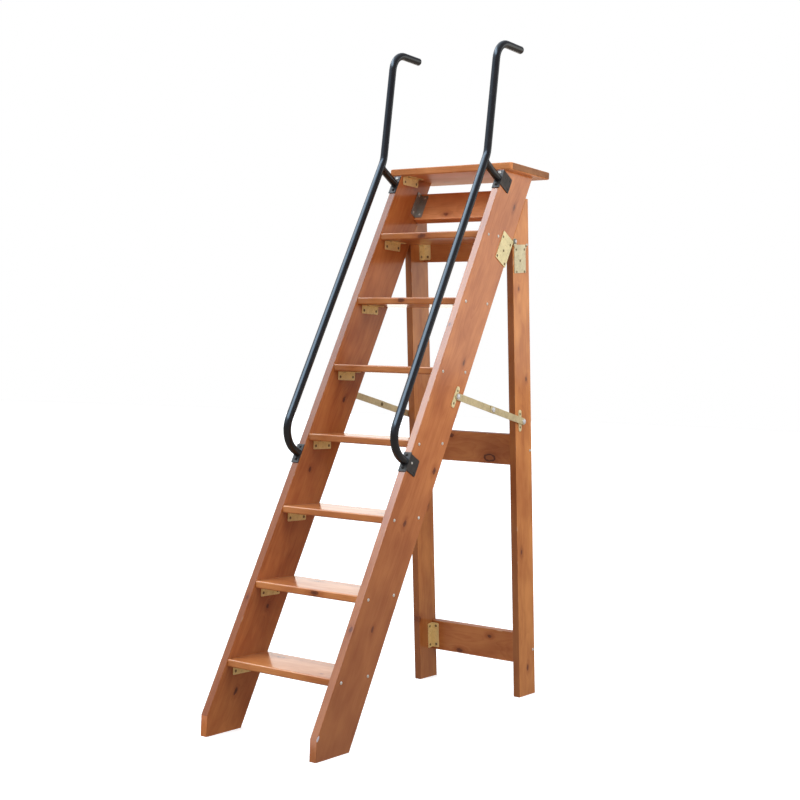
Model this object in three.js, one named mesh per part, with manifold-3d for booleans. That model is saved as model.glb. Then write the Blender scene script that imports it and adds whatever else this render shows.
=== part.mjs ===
// A folding library ladder: two sloping stringers with treads and a top platform, a rear frame
// hinged behind them, folding stays on both sides and a steel tube handrail on each stringer.
// Millimetres, +Z up, +X to the right, +Y to the back. The origin is on the floor, under the middle.

import * as THREE from 'three';
import { mergeVertices } from 'three/addons/utils/BufferGeometryUtils.js';
import Module from 'manifold-3d';

const wasm = await Module();
wasm.setup();

// Driving dimensions

const GAP = 0.3; // kept between pieces that rest on each other
const EASED_EDGE = 2; // on the sawn boards
const DEGREE = Math.PI / 180;

const CLEAR_WIDTH = 430; // between the stringers' inner faces
const BOARD = 28; // thickness of stringers, legs and rails
const STRINGER_ANGLE = 62.7 * DEGREE; // from level
const STRINGER_WIDTH = 184; // square to the slope
const FOOT_NOSE = 71; // height of the upright cut at the stringer's foot

const TREAD_COUNT = 7;
const TREAD_PITCH = 250;
const FIRST_TREAD_TOP = 245;
const TREAD_THICK = 25;
const TREAD_DEPTH = 203;
const TREAD_EDGE = 5; // radius of the tread's long edges

const PLATFORM_TOP = 2005;
const PLATFORM_THICK = 27;
const PLATFORM_WIDTH = 546;
const PLATFORM_DEPTH = 290;
const PLATFORM_CORNER = 14;
const PLATFORM_EDGE = 5;

const UPPER_RAIL = { start: 2049, end: 2168 }; // along the stringer

const LEG_ANGLE = 6.3 * DEGREE; // lean of the rear legs, from upright
const LEG_DEPTH = 118;
const LEG_TOP = 1893; // height of the level cut above the mitre
const MITRE_GAP = 0.5; // between the leg's mitre and the stringer's rear edge
const REAR_RAIL_WIDTH = 118;
const REAR_RAIL_CENTRES = { bottom: 164, middle: 941, top: 1721 }; // along the leg

const PIVOT_ALONG = 1960; // hinge pin, along the stringer
const PIVOT_BEHIND_STRINGER = 8;
const PIVOT_INSIDE_LEG = 6.5; // behind the leg's front face

const PLATE = 2.5; // thickness of hinge plates, ears and angle brackets
const PLATE_CORNER = 1.5;
const PIN_RADIUS = 4;
const PIN_HOLE_RADIUS = 4.1;
const PIN_LOBE_RADIUS = 10.5;
const HEAD_RADIUS = 9.5;
const HEAD_HEIGHT = 6;
const HEAD_RIM = 2.5; // height of the head's straight side, below its dome

const FRONT_PLATE = { front: 112, back: 187.5, start: 1842, end: 1955 }; // on the stringer
const REAR_PLATE = { front: 7, back: 89, start: 1617, end: 1722 }; // on the leg
const REAR_PLATE_TAB = { reach: 8, length: 13 }; // at the plate's top rear corner
const HINGE_NECK = 14; // size of the step that lifts the rear plate's arm

const STAY_ON_STRINGER = { across: 149, along: 1287 }; // rivets of the folding stay
const STAY_ON_LEG = { across: 46, along: 1059 };
const STAY_WIDTH = 25;
const STAY_THICK = 3;
const STAY_TAIL = 17.5; // each link runs this far past the knee
const STAY_FRONT_SHARE = 0.51; // of the distance between the rivets
const EAR_LENGTH = 82;
const EAR_WIDTH = 20;
const EAR_ON_STRINGER = { across: 141, along: 1281 };
const EAR_ON_LEG = { across: 30, along: 1064 };
const EAR_BULGE = 11;
const EAR_BOSS = 8; // radius of the spacer under the rear link

const ANGLE_LENGTH = 100; // angle brackets
const ANGLE_LEAF = 32;
const ANGLE_CORNER = 4.5;
const TREAD_ANGLE_BACK = 77; // middle of the bracket behind the tread's front edge
const PLATFORM_ANGLE_BACK = 61;

const TUBE_RADIUS = 14;
const TUBE_OFFSET = 110; // tube's axis in front of the stringer's front edge
const TUBE_FOOT = 960; // along the stringer
const TUBE_FOOT_BEND = 85;
const TUBE_STRUT = 2106;
const TUBE_KNEE = 2120; // along the stringer, where the tube turns upright
const TUBE_KNEE_BEND = 100;
const TUBE_UPRIGHT_ANGLE = 84 * DEGREE;
const TUBE_HOOK_BEND = 72;
const TUBE_ARM_HEIGHT = 2435;
const TUBE_ARM_END = 1088; // behind the stringer's nose
const TUBE_STANDOFF = 3.6; // tube's end in front of the stringer's edge

const RAIL_BRACKET_THICK = 3;
const LOWER_RAIL_BRACKET = { start: 923, end: 995, sideStart: 930, sideEnd: 990, back: 55 };
const UPPER_RAIL_BRACKET = { start: 2066, end: 2142, sideStart: 2082, sideEnd: 2142, back: 62 };

// Worked-out dimensions

const INNER = CLEAR_WIDTH / 2;
const OUTER = INNER + BOARD;
const PLATFORM_UNDER = PLATFORM_TOP - PLATFORM_THICK;

const slopeCos = Math.cos(STRINGER_ANGLE);
const slopeSin = Math.sin(STRINGER_ANGLE);
const legCos = Math.cos(LEG_ANGLE);
const legSin = Math.sin(LEG_ANGLE);

// Side-view places are (y, z), with y measured from the stringer's nose.
// On the stringer, "along" runs up its front edge from the nose and "across" runs square to it, backwards.
const onStringer = (across, along) =>
  new THREE.Vector2(along * slopeCos + across * slopeSin, FOOT_NOSE + along * slopeSin - across * slopeCos);

const stringerAtHeight = (across, height) =>
  onStringer(across, (height - FOOT_NOSE + across * slopeCos) / slopeSin);

const pivot = onStringer(STRINGER_WIDTH + PIVOT_BEHIND_STRINGER, PIVOT_ALONG);
const legFront = pivot.x + pivot.y * (legSin / legCos) - PIVOT_INSIDE_LEG / legCos;

// On the leg, "along" runs up its front face from the floor and "across" runs square to it, backwards.
const onLeg = (across, along) =>
  new THREE.Vector2(legFront - along * legSin + across * legCos, along * legCos + across * legSin);

const legAtHeight = (across, height) => onLeg(across, (height - across * legSin) / legCos);

const PIVOT_ALONG_LEG = (pivot.y - PIVOT_INSIDE_LEG * legSin) / legCos;
const MIDDLE = legAtHeight(LEG_DEPTH, 0).x / 2;

// A frame turns (across, along, sideways) into the ladder's own x, y and z.
function frame(acrossAxis, alongAxis, origin) {
  const matrix = new THREE.Matrix4().makeBasis(
    new THREE.Vector3(0, ...acrossAxis),
    new THREE.Vector3(0, ...alongAxis),
    new THREE.Vector3(1, 0, 0),
  );
  return matrix.setPosition(0, origin.x - MIDDLE, origin.y);
}

const sideView = frame([1, 0], [0, 1], new THREE.Vector2(0, 0));
const stringerView = frame([slopeSin, -slopeCos], [slopeCos, slopeSin], onStringer(0, 0));
const legView = frame([legCos, legSin], [-legSin, legCos], onLeg(0, 0));
const underView = frame([0, -1], [1, 0], new THREE.Vector2(0, 0)); // across is downwards

// Finishes

const finish = (color, roughness, metalness) => new THREE.MeshStandardMaterial({ color, roughness, metalness });
const pine = finish(0xb8734a, 0.45, 0);
const brass = finish(0xc9b26a, 0.35, 0.9);
const zinc = finish(0xd5d5d8, 0.3, 1);
const darkSteel = finish(0x3a3836, 0.5, 0.6);
const greySteel = finish(0x8d938f, 0.4, 0.9);
const blackPaint = finish(0x1b1e26, 0.25, 0.1);

// Solids

function toSolid(geometry) {
  const bare = geometry.clone();
  bare.deleteAttribute('normal');
  bare.deleteAttribute('uv');
  const merged = mergeVertices(bare, 1e-4);
  const corners = merged.index.array;
  const kept = [];
  for (let i = 0; i < corners.length; i += 3) {
    const [a, b, c] = corners.slice(i, i + 3);
    if (a !== b && b !== c && c !== a) kept.push(a, b, c);
  }
  const mesh = new wasm.Mesh({
    numProp: 3,
    vertProperties: new Float32Array(merged.attributes.position.array),
    triVerts: new Uint32Array(kept),
  });
  return new wasm.Manifold(mesh);
}

function toGeometry(solid) {
  const mesh = solid.getMesh();
  const geometry = new THREE.BufferGeometry();
  geometry.setAttribute('position', new THREE.BufferAttribute(mesh.vertProperties, 3));
  geometry.setIndex(new THREE.BufferAttribute(mesh.triVerts, 1));
  geometry.computeVertexNormals();
  return geometry;
}

const join = (...solids) => solids.reduce((whole, next) => whole.add(next));

// An outline drawn as (across, along) in a frame, made solid between two sideways places.
function slab(view, outline, from, to, easing = 0, arcSteps = 2) {
  const geometry = new THREE.ExtrudeGeometry(outline, {
    depth: Math.abs(to - from) - 2 * easing,
    bevelEnabled: easing > 0,
    bevelSize: easing,
    bevelThickness: easing,
    bevelOffset: -easing,
    bevelSegments: 2,
    curveSegments: arcSteps,
  });
  geometry.translate(0, 0, Math.min(from, to) + easing);
  return toSolid(geometry.applyMatrix4(view));
}

// An outline drawn as (sideways, along) in a frame, made solid between two places across it.
function crossSlab(view, outline, from, to) {
  const geometry = new THREE.ExtrudeGeometry(outline, {
    depth: Math.abs(to - from),
    bevelEnabled: false,
    curveSegments: 2,
  });
  const turn = new THREE.Matrix4().makeBasis(
    new THREE.Vector3(0, 0, 1),
    new THREE.Vector3(0, 1, 0),
    new THREE.Vector3(-1, 0, 0),
  );
  turn.setPosition(Math.max(from, to), 0, 0);
  return toSolid(geometry.applyMatrix4(turn).applyMatrix4(view));
}

// Straight-sided outline through the corner points; a corner with a radius is rounded by an arc.
function outlineOf(corners) {
  const outline = new THREE.Shape();
  corners.forEach(([x, y, radius = 0], i) => {
    const corner = new THREE.Vector2(x, y);
    const [beforeX, beforeY] = corners[(i + corners.length - 1) % corners.length];
    const [afterX, afterY] = corners[(i + 1) % corners.length];
    const before = new THREE.Vector2(beforeX, beforeY).sub(corner).normalize();
    const after = new THREE.Vector2(afterX, afterY).sub(corner).normalize();
    const halfAngle = Math.acos(before.dot(after)) / 2;
    const tangent = radius / Math.tan(halfAngle);
    const start = corner.clone().addScaledVector(before, tangent);
    if (i === 0) {
      outline.moveTo(start.x, start.y);
    } else {
      outline.lineTo(start.x, start.y);
    }
    if (radius > 0) {
      const end = corner.clone().addScaledVector(after, tangent);
      const middle = before.clone().add(after).normalize();
      const centre = corner.clone().addScaledVector(middle, radius / Math.sin(halfAngle));
      const startAngle = start.clone().sub(centre).angle();
      const endAngle = end.clone().sub(centre).angle();
      const clockwise = before.cross(after) > 0;
      outline.absarc(centre.x, centre.y, radius, startAngle, endAngle, clockwise);
    }
  });
  outline.closePath();
  return outline;
}

const rectangle = (x0, x1, y0, y1, radius = 0) =>
  outlineOf([
    [x0, y0, radius],
    [x1, y0, radius],
    [x1, y1, radius],
    [x0, y1, radius],
  ]);

function circle(centre, radius) {
  const outline = new THREE.Shape();
  outline.absarc(centre.x, centre.y, radius, 0, 2 * Math.PI);
  return outline;
}

// On one side of the ladder (1 is right, -1 is left), standing off the boards' outer faces.
const onSide = (view, outline, side, from, to, arcSteps = 2) =>
  slab(view, outline, side * (OUTER + from), side * (OUTER + to), 0, arcSteps);

const discOnSide = (centre, radius, side, from, to) => onSide(sideView, circle(centre, radius), side, from, to, 12);

// A domed rivet head whose flat faces the ladder.
function rivetHead(centre, side, from) {
  const profile = [new THREE.Vector2(0, 0), new THREE.Vector2(HEAD_RADIUS, 0)];
  const steps = 5;
  for (let i = 0; i <= steps; i += 1) {
    const turn = (i / steps) * 90 * DEGREE;
    const dome = (HEAD_HEIGHT - HEAD_RIM) * Math.sin(turn);
    profile.push(new THREE.Vector2(HEAD_RADIUS * Math.cos(turn), HEAD_RIM + dome));
  }
  const head = new THREE.LatheGeometry(profile, 24);
  head.rotateZ(-side * 90 * DEGREE);
  head.translate(side * (OUTER + from), centre.x - MIDDLE, centre.y);
  return toSolid(head);
}

// Wooden boards

const boardSpan = (side) => [side * INNER, side * OUTER];
const betweenBoards = [-INNER + GAP, INNER - GAP];

function stringer(side) {
  const top = PLATFORM_UNDER - GAP;
  const outline = new THREE.Shape([
    new THREE.Vector2(0, 0),
    stringerAtHeight(STRINGER_WIDTH, 0),
    stringerAtHeight(STRINGER_WIDTH, top),
    stringerAtHeight(0, top),
    new THREE.Vector2(0, FOOT_NOSE),
  ]);
  return slab(sideView, outline, ...boardSpan(side), EASED_EDGE);
}

const treadTop = (index) => FIRST_TREAD_TOP + index * TREAD_PITCH;
const treadFront = (index) => stringerAtHeight(0, treadTop(index)).x;

function tread(index) {
  const front = treadFront(index);
  const top = treadTop(index);
  const outline = rectangle(front, front + TREAD_DEPTH, top - TREAD_THICK, top, TREAD_EDGE);
  return slab(sideView, outline, ...betweenBoards, 0, 3);
}

const platformFront = stringerAtHeight(0, PLATFORM_UNDER).x;

function platform() {
  const half = PLATFORM_WIDTH / 2;
  const front = platformFront - MIDDLE;
  const outline = rectangle(-half, half, front, front + PLATFORM_DEPTH, PLATFORM_CORNER);
  const geometry = new THREE.ExtrudeGeometry(outline, {
    depth: PLATFORM_THICK - 2 * PLATFORM_EDGE,
    bevelSize: PLATFORM_EDGE,
    bevelThickness: PLATFORM_EDGE,
    bevelOffset: -PLATFORM_EDGE,
    bevelSegments: 3,
    curveSegments: 4,
  });
  geometry.translate(0, 0, PLATFORM_UNDER + PLATFORM_EDGE);
  return toSolid(geometry);
}

function upperBackRail() {
  const outline = rectangle(STRINGER_WIDTH - BOARD, STRINGER_WIDTH, UPPER_RAIL.start, UPPER_RAIL.end);
  return slab(stringerView, outline, ...betweenBoards, EASED_EDGE);
}

// The leg's top is mitred to lie along the stringer's rear edge, which stops the frame as it opens.
function rearLeg(side) {
  const mitreAcross = STRINGER_WIDTH + MITRE_GAP;
  const behindMitre = legFront * slopeSin + FOOT_NOSE * slopeCos - mitreAcross;
  const mitreFoot = onLeg(0, behindMitre / Math.cos(STRINGER_ANGLE - LEG_ANGLE));
  const outline = new THREE.Shape([
    legAtHeight(0, 0),
    legAtHeight(LEG_DEPTH, 0),
    legAtHeight(LEG_DEPTH, LEG_TOP),
    stringerAtHeight(mitreAcross, LEG_TOP),
    mitreFoot,
  ]);
  return slab(sideView, outline, ...boardSpan(side), EASED_EDGE);
}

function rearRail(centre) {
  const half = REAR_RAIL_WIDTH / 2;
  const outline = rectangle(LEG_DEPTH - BOARD, LEG_DEPTH, centre - half, centre + half);
  return slab(legView, outline, ...betweenBoards, EASED_EDGE);
}

// Angle brackets: one leaf on the board's inner face, one on a surface at a fixed place across the
// frame. "away" is the direction from that surface to the free side, 1 or -1.

function leafOutline(bend, free, start, end) {
  return outlineOf([
    [bend, start],
    [free, start, ANGLE_CORNER],
    [free, end, ANGLE_CORNER],
    [bend, end],
  ]);
}

function angleBracket(view, surface, away, middle, side) {
  const start = middle - ANGLE_LENGTH / 2;
  const end = middle + ANGLE_LENGTH / 2;
  const face = side * (INNER - GAP);
  const bend = surface + away * GAP;
  const boardLeaf = leafOutline(bend, bend + away * ANGLE_LEAF, start, end);
  const surfaceLeaf = leafOutline(face, face - side * ANGLE_LEAF, start, end);
  return join(
    slab(view, boardLeaf, face, face - side * PLATE),
    crossSlab(view, surfaceLeaf, bend, bend + away * PLATE),
  );
}

function treadBracket(index, side) {
  const middle = treadFront(index) + TREAD_ANGLE_BACK;
  return angleBracket(underView, TREAD_THICK - treadTop(index), 1, middle, side);
}

const platformBracket = (side) =>
  angleBracket(underView, -PLATFORM_UNDER, 1, platformFront + PLATFORM_ANGLE_BACK, side);

const upperRailBracket = (side) =>
  angleBracket(stringerView, STRINGER_WIDTH - BOARD, -1, (UPPER_RAIL.start + UPPER_RAIL.end) / 2, side);

const rearRailBracket = (centre, side) => angleBracket(legView, LEG_DEPTH - BOARD, -1, centre, side);

// Hinge: the stringer's plate lies under the leg's plate at the pin.

const LOWER_LAYER = [GAP, GAP + PLATE];
const UPPER_LAYER = [2 * GAP + PLATE, 2 * GAP + 2 * PLATE];

const pinHole = (side) => discOnSide(pivot, PIN_HOLE_RADIUS, side, -1, 2 * HEAD_HEIGHT);

function frontHingePlate(side) {
  const { front, back, start, end } = FRONT_PLATE;
  const plate = onSide(stringerView, rectangle(front, back, start, end, PLATE_CORNER), side, ...LOWER_LAYER);
  const lobe = discOnSide(pivot, PIN_LOBE_RADIUS, side, ...LOWER_LAYER);
  return join(plate, lobe).subtract(pinHole(side));
}

// The leg's plate steps outwards through its neck to pass over the stringer's plate.
function rearHingePlate(side) {
  const { front, back, start, end } = REAR_PLATE;
  const tabBack = back + REAR_PLATE_TAB.reach;
  const tabStart = end - REAR_PLATE_TAB.length;
  const outline = outlineOf([
    [front, start, PLATE_CORNER],
    [back, start, PLATE_CORNER],
    [back, tabStart],
    [tabBack, tabStart, PLATE_CORNER],
    [tabBack, end, PLATE_CORNER],
    [front, end, PLATE_CORNER],
  ]);
  const plate = onSide(legView, outline, side, ...LOWER_LAYER);
  const neck = rectangle(front, front + HINGE_NECK, end - HINGE_NECK, end);
  const arm = outlineOf([
    [front, end - HINGE_NECK],
    [front + HINGE_NECK, end - HINGE_NECK],
    [PIVOT_INSIDE_LEG + PIN_LOBE_RADIUS, PIVOT_ALONG_LEG],
    [PIVOT_INSIDE_LEG - PIN_LOBE_RADIUS, PIVOT_ALONG_LEG],
  ]);
  return join(
    plate,
    onSide(legView, neck, side, LOWER_LAYER[0], UPPER_LAYER[1]),
    onSide(legView, arm, side, ...UPPER_LAYER),
    discOnSide(pivot, PIN_LOBE_RADIUS, side, ...UPPER_LAYER),
  ).subtract(pinHole(side));
}

function hingePin(side) {
  const headFrom = UPPER_LAYER[1] + GAP;
  return join(
    discOnSide(pivot, PIN_RADIUS, side, GAP + 0.1, headFrom + 1),
    rivetHead(pivot, side, headFrom),
  );
}

// Folding stays: the front link lies in the inner layer and the rear link in the outer one.

const INNER_LINK = [2 * GAP + PLATE, 2 * GAP + PLATE + STAY_THICK];
const OUTER_LINK = [3 * GAP + PLATE + STAY_THICK, 3 * GAP + PLATE + 2 * STAY_THICK];

const frontRivet = onStringer(STAY_ON_STRINGER.across, STAY_ON_STRINGER.along);
const rearRivet = onLeg(STAY_ON_LEG.across, STAY_ON_LEG.along);
const knee = frontRivet.clone().lerp(rearRivet, STAY_FRONT_SHARE);

// A strip from a round end about one point to a square end past another.
function linkOutline(from, to) {
  const half = STAY_WIDTH / 2;
  const heading = to.clone().sub(from).angle();
  const ahead = new THREE.Vector2(Math.cos(heading), Math.sin(heading));
  const left = new THREE.Vector2(-ahead.y, ahead.x);
  const end = to.clone().addScaledVector(ahead, STAY_TAIL);
  const outline = new THREE.Shape();
  outline.absarc(from.x, from.y, half, heading + 90 * DEGREE, heading + 270 * DEGREE);
  outline.lineTo(...end.clone().addScaledVector(left, -half).toArray());
  outline.lineTo(...end.clone().addScaledVector(left, half).toArray());
  outline.closePath();
  return outline;
}

function stayLink(from, side, layer) {
  const bar = onSide(sideView, linkOutline(from, knee), side, ...layer, 8);
  return bar.subtract(discOnSide(from, PIN_HOLE_RADIUS, side, layer[0] - 1, layer[1] + 1));
}

const frontStayLink = (side) => stayLink(frontRivet, side, INNER_LINK);

const rearStayLink = (side) => join(stayLink(rearRivet, side, OUTER_LINK), rivetHead(knee, side, OUTER_LINK[1]));

// The ear is a strip with round ends and a bulge that carries the stay's rivet.
function stayEar(view, centre, rivet, side, layer) {
  const half = EAR_WIDTH / 2;
  const reach = EAR_LENGTH / 2 - half;
  const strip = new THREE.Shape();
  strip.absarc(centre.across, centre.along + reach, half, 0, 180 * DEGREE);
  strip.absarc(centre.across, centre.along - reach, half, 180 * DEGREE, 360 * DEGREE);
  strip.closePath();
  const rivetFrom = layer[1] + GAP;
  return join(
    onSide(view, strip, side, ...LOWER_LAYER, 8),
    discOnSide(rivet, EAR_BULGE, side, ...LOWER_LAYER),
    discOnSide(rivet, PIN_RADIUS, side, GAP, rivetFrom + 1),
    rivetHead(rivet, side, rivetFrom),
  );
}

const frontStayEar = (side) => stayEar(stringerView, EAR_ON_STRINGER, frontRivet, side, INNER_LINK);

// The rear ear's spacer brings its rivet out to the outer layer.
function rearStayEar(side) {
  const spacer = discOnSide(rearRivet, EAR_BOSS, side, GAP, OUTER_LINK[0] - GAP);
  return join(stayEar(legView, EAR_ON_LEG, rearRivet, side, OUTER_LINK), spacer);
}

// Handrails

class StationPath extends THREE.Curve {
  constructor(stations) {
    super();
    this.stations = stations;
  }

  at(u) {
    return this.stations[Math.round(u * (this.stations.length - 1))];
  }

  getPointAt(u) {
    return this.at(u).point.clone();
  }

  getTangentAt(u) {
    return this.at(u).heading.clone();
  }

  getSpacedPoints() {
    return this.stations.map((station) => station.point.clone());
  }
}

// Stations along the tube's middle line: a straight run needs only its ends, a bend one each 9 degrees.
function tubeStations(x) {
  const stations = [];
  const place = new THREE.Vector2();
  let heading = 0;
  const mark = () =>
    stations.push({
      point: new THREE.Vector3(x, place.x - MIDDLE, place.y),
      heading: new THREE.Vector3(0, Math.cos(heading), Math.sin(heading)),
    });
  const begin = (start, direction) => {
    place.copy(start);
    heading = direction;
    mark();
  };
  const goStraight = (distance) => {
    place.x += distance * Math.cos(heading);
    place.y += distance * Math.sin(heading);
    mark();
  };
  const bend = (radius, angle) => {
    const steps = Math.ceil(Math.abs(angle) / (9 * DEGREE));
    const turn = angle / steps;
    const chord = 2 * radius * Math.sin(Math.abs(turn) / 2);
    for (let i = 0; i < steps; i += 1) {
      place.x += chord * Math.cos(heading + turn / 2);
      place.y += chord * Math.sin(heading + turn / 2);
      heading += turn;
      mark();
    }
  };

  const outwards = STRINGER_ANGLE + 90 * DEGREE;
  begin(onStringer(-TUBE_STANDOFF, TUBE_FOOT), outwards);
  goStraight(TUBE_OFFSET - TUBE_FOOT_BEND - TUBE_STANDOFF);
  bend(TUBE_FOOT_BEND, -90 * DEGREE);
  goStraight(TUBE_KNEE - TUBE_FOOT - TUBE_FOOT_BEND);
  bend(TUBE_KNEE_BEND, TUBE_UPRIGHT_ANGLE - STRINGER_ANGLE);
  const hookRise = TUBE_HOOK_BEND * (1 - Math.cos(TUBE_UPRIGHT_ANGLE));
  goStraight((TUBE_ARM_HEIGHT - hookRise - place.y) / Math.sin(TUBE_UPRIGHT_ANGLE));
  bend(TUBE_HOOK_BEND, -TUBE_UPRIGHT_ANGLE);
  goStraight(TUBE_ARM_END - place.x);
  return stations;
}

const tubeSection = () => circle(new THREE.Vector2(0, 0), TUBE_RADIUS);

function handrail(side) {
  const x = side * (OUTER - TUBE_RADIUS);
  const stations = tubeStations(x);
  const tube = new THREE.ExtrudeGeometry(tubeSection(), {
    steps: stations.length - 1,
    extrudePath: new StationPath(stations),
    curveSegments: 12,
  });
  const strut = new THREE.ExtrudeGeometry(tubeSection(), {
    depth: TUBE_OFFSET - TUBE_STANDOFF,
    bevelEnabled: false,
    curveSegments: 12,
  });
  const start = onStringer(-TUBE_OFFSET, TUBE_STRUT);
  strut.applyMatrix4(
    new THREE.Matrix4().makeBasis(
      new THREE.Vector3(0, slopeCos, slopeSin),
      new THREE.Vector3(1, 0, 0),
      new THREE.Vector3(0, slopeSin, -slopeCos),
    ),
  );
  strut.translate(x, start.x - MIDDLE, start.y);
  return join(toSolid(tube), toSolid(strut));
}

// One leaf lies on the stringer's front edge under the tube's end, the other on its outer face.
function handrailBracket({ start, end, sideStart, sideEnd, back }, side) {
  const outside = OUTER + GAP + RAIL_BRACKET_THICK;
  const front = -GAP - RAIL_BRACKET_THICK;
  const edgeLeaf = rectangle(side * INNER, side * outside, start, end);
  const faceLeaf = outlineOf([
    [front, sideStart],
    [back, sideStart, 4],
    [back, sideEnd, 4],
    [front, sideEnd],
  ]);
  return join(
    crossSlab(stringerView, edgeLeaf, front, -GAP),
    onSide(stringerView, faceLeaf, side, GAP, GAP + RAIL_BRACKET_THICK),
  );
}

// The whole ladder

const ladder = new THREE.Group();

function addPiece(name, solid, material) {
  const mesh = new THREE.Mesh(toGeometry(solid), material.clone());
  mesh.name = name;
  ladder.add(mesh);
}

addPiece('platform', platform(), pine);
addPiece('upper_back_rail', upperBackRail(), pine);
for (const [height, centre] of Object.entries(REAR_RAIL_CENTRES)) {
  addPiece(`rear_rail_${height}`, rearRail(centre), pine);
}
for (let index = 0; index < TREAD_COUNT; index += 1) {
  addPiece(`tread_${index + 1}`, tread(index), pine);
}
for (const [hand, side] of Object.entries({ left: -1, right: 1 })) {
  addPiece(`stringer_${hand}`, stringer(side), pine);
  addPiece(`rear_leg_${hand}`, rearLeg(side), pine);
  addPiece(`platform_bracket_${hand}`, platformBracket(side), brass);
  addPiece(`upper_rail_bracket_${hand}`, upperRailBracket(side), greySteel);
  for (let index = 0; index < TREAD_COUNT; index += 1) {
    addPiece(`tread_bracket_${index + 1}_${hand}`, treadBracket(index, side), brass);
  }
  for (const [height, centre] of Object.entries(REAR_RAIL_CENTRES)) {
    addPiece(`rear_rail_bracket_${height}_${hand}`, rearRailBracket(centre, side), brass);
  }
  addPiece(`hinge_front_plate_${hand}`, frontHingePlate(side), brass);
  addPiece(`hinge_rear_plate_${hand}`, rearHingePlate(side), brass);
  addPiece(`hinge_pin_${hand}`, hingePin(side), zinc);
  addPiece(`stay_ear_front_${hand}`, frontStayEar(side), brass);
  addPiece(`stay_ear_rear_${hand}`, rearStayEar(side), brass);
  addPiece(`stay_link_front_${hand}`, frontStayLink(side), brass);
  addPiece(`stay_link_rear_${hand}`, rearStayLink(side), brass);
  addPiece(`handrail_${hand}`, handrail(side), blackPaint);
  addPiece(`handrail_bracket_lower_${hand}`, handrailBracket(LOWER_RAIL_BRACKET, side), darkSteel);
  addPiece(`handrail_bracket_upper_${hand}`, handrailBracket(UPPER_RAIL_BRACKET, side), darkSteel);
}

export default ladder;
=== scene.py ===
import math
import random
from dataclasses import dataclass

import bmesh
import bpy
from mathutils import Matrix, Vector


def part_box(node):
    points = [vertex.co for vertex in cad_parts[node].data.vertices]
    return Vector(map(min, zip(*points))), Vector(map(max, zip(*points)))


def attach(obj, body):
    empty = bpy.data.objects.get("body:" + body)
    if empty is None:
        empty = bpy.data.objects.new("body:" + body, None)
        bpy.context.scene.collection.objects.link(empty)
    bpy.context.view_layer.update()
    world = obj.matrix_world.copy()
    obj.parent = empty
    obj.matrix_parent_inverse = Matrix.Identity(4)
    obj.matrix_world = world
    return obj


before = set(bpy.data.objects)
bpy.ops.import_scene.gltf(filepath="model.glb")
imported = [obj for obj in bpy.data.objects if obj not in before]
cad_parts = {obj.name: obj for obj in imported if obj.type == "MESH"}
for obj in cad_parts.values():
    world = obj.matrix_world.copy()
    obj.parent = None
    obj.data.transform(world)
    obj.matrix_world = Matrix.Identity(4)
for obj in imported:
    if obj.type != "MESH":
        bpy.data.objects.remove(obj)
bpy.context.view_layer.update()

MM = 0.001
X_AXIS = Vector((1, 0, 0))
SIDES = {"left": -1, "right": 1}
TREADS = 7
RAIL_HEIGHTS = ("bottom", "middle", "top")

# Places and directions of the boards, worked out from the frame


def corner(node, y_side, z_side):
    """A corner of a node's box in side view: y_side and z_side are 0 for low and 1 for high."""
    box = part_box(node)
    return Vector((0, box[y_side].y, box[z_side].z))


def middle(node):
    low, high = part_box(node)
    return (low + high) / 2


class BoardAxes:
    """Places on a board in side view: along its length, across its width (backwards) and sideways."""

    def __init__(self, origin, along):
        self.along = along.normalized()
        self.across = Vector((0, self.along.z, -self.along.y))
        self.origin = origin

    def at(self, along, across, x=0.0):
        return self.origin + self.along * along + self.across * across + X_AXIS * x

    def read(self, point):
        offset = point - self.origin
        return offset.dot(self.along), offset.dot(self.across)


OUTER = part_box("stringer_right")[1].x
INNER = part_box("stringer_right")[0].x
FOOT_NOSE = 71 * MM  # how far up from the floor a stringer's vertical nose ends

top_edge = [corner(f"tread_{i}", 0, 1) for i in range(1, TREADS + 1)]
slope = (top_edge[-1] - top_edge[0]).normalized()
nose = Vector((0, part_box("stringer_right")[0].y, FOOT_NOSE))
STRINGER = BoardAxes(nose, slope)

lean = middle("rear_rail_top") - middle("rear_rail_bottom")
lean.x = 0
LEG = BoardAxes(Vector((0, 0, 0)), lean)
LEG_DEPTH = 118 * MM
rear_bottom = Vector((0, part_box("rear_leg_right")[1].y, 0))
LEG.origin = rear_bottom - LEG.across * LEG_DEPTH
LEG.origin -= LEG.along * (LEG.origin.z / LEG.along.z)

# Shader helpers


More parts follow.
